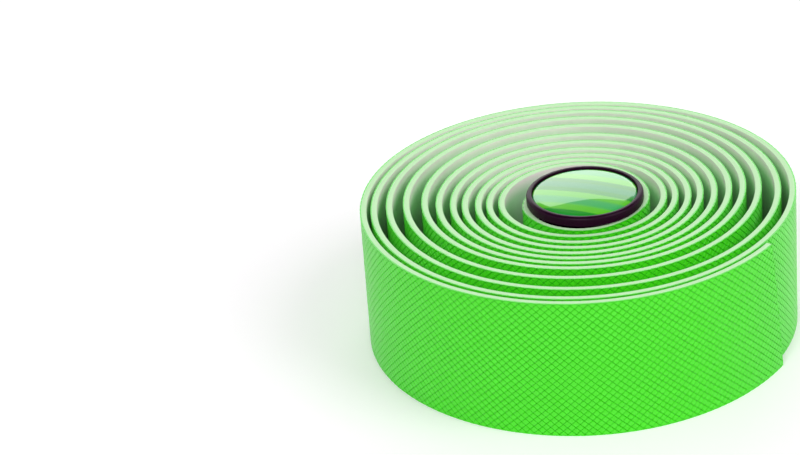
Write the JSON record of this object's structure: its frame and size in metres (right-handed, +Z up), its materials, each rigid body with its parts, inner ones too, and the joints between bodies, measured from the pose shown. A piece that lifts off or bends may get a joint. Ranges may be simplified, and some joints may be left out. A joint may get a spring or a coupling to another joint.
{
  "type": "roll of handlebar tape",
  "caption": "Loosely wound flat roll of padded handlebar tape with an embossed face, and a bar-end plug pushed into its core.",
  "frame": {"origin": "centre of the roll's footprint, on the surface it lies on", "axes": "+Z up along the roll's axis, the plug's head on top; -Y towards the side that the picture is taken from"},
  "size_m": [0.0906, 0.0916, 0.0327],
  "materials": {
    "tape": "embossed green skin on a pale foam backing",
    "plug_body": "moulded, satin gloss",
    "plug_badge": "clear domed resin over a printed label"
  },
  "bodies": {
    "root": {"tape": "tape", "plug_body": "plug_body", "plug_badge": "plug_badge"}
  },
  "joints": []
}
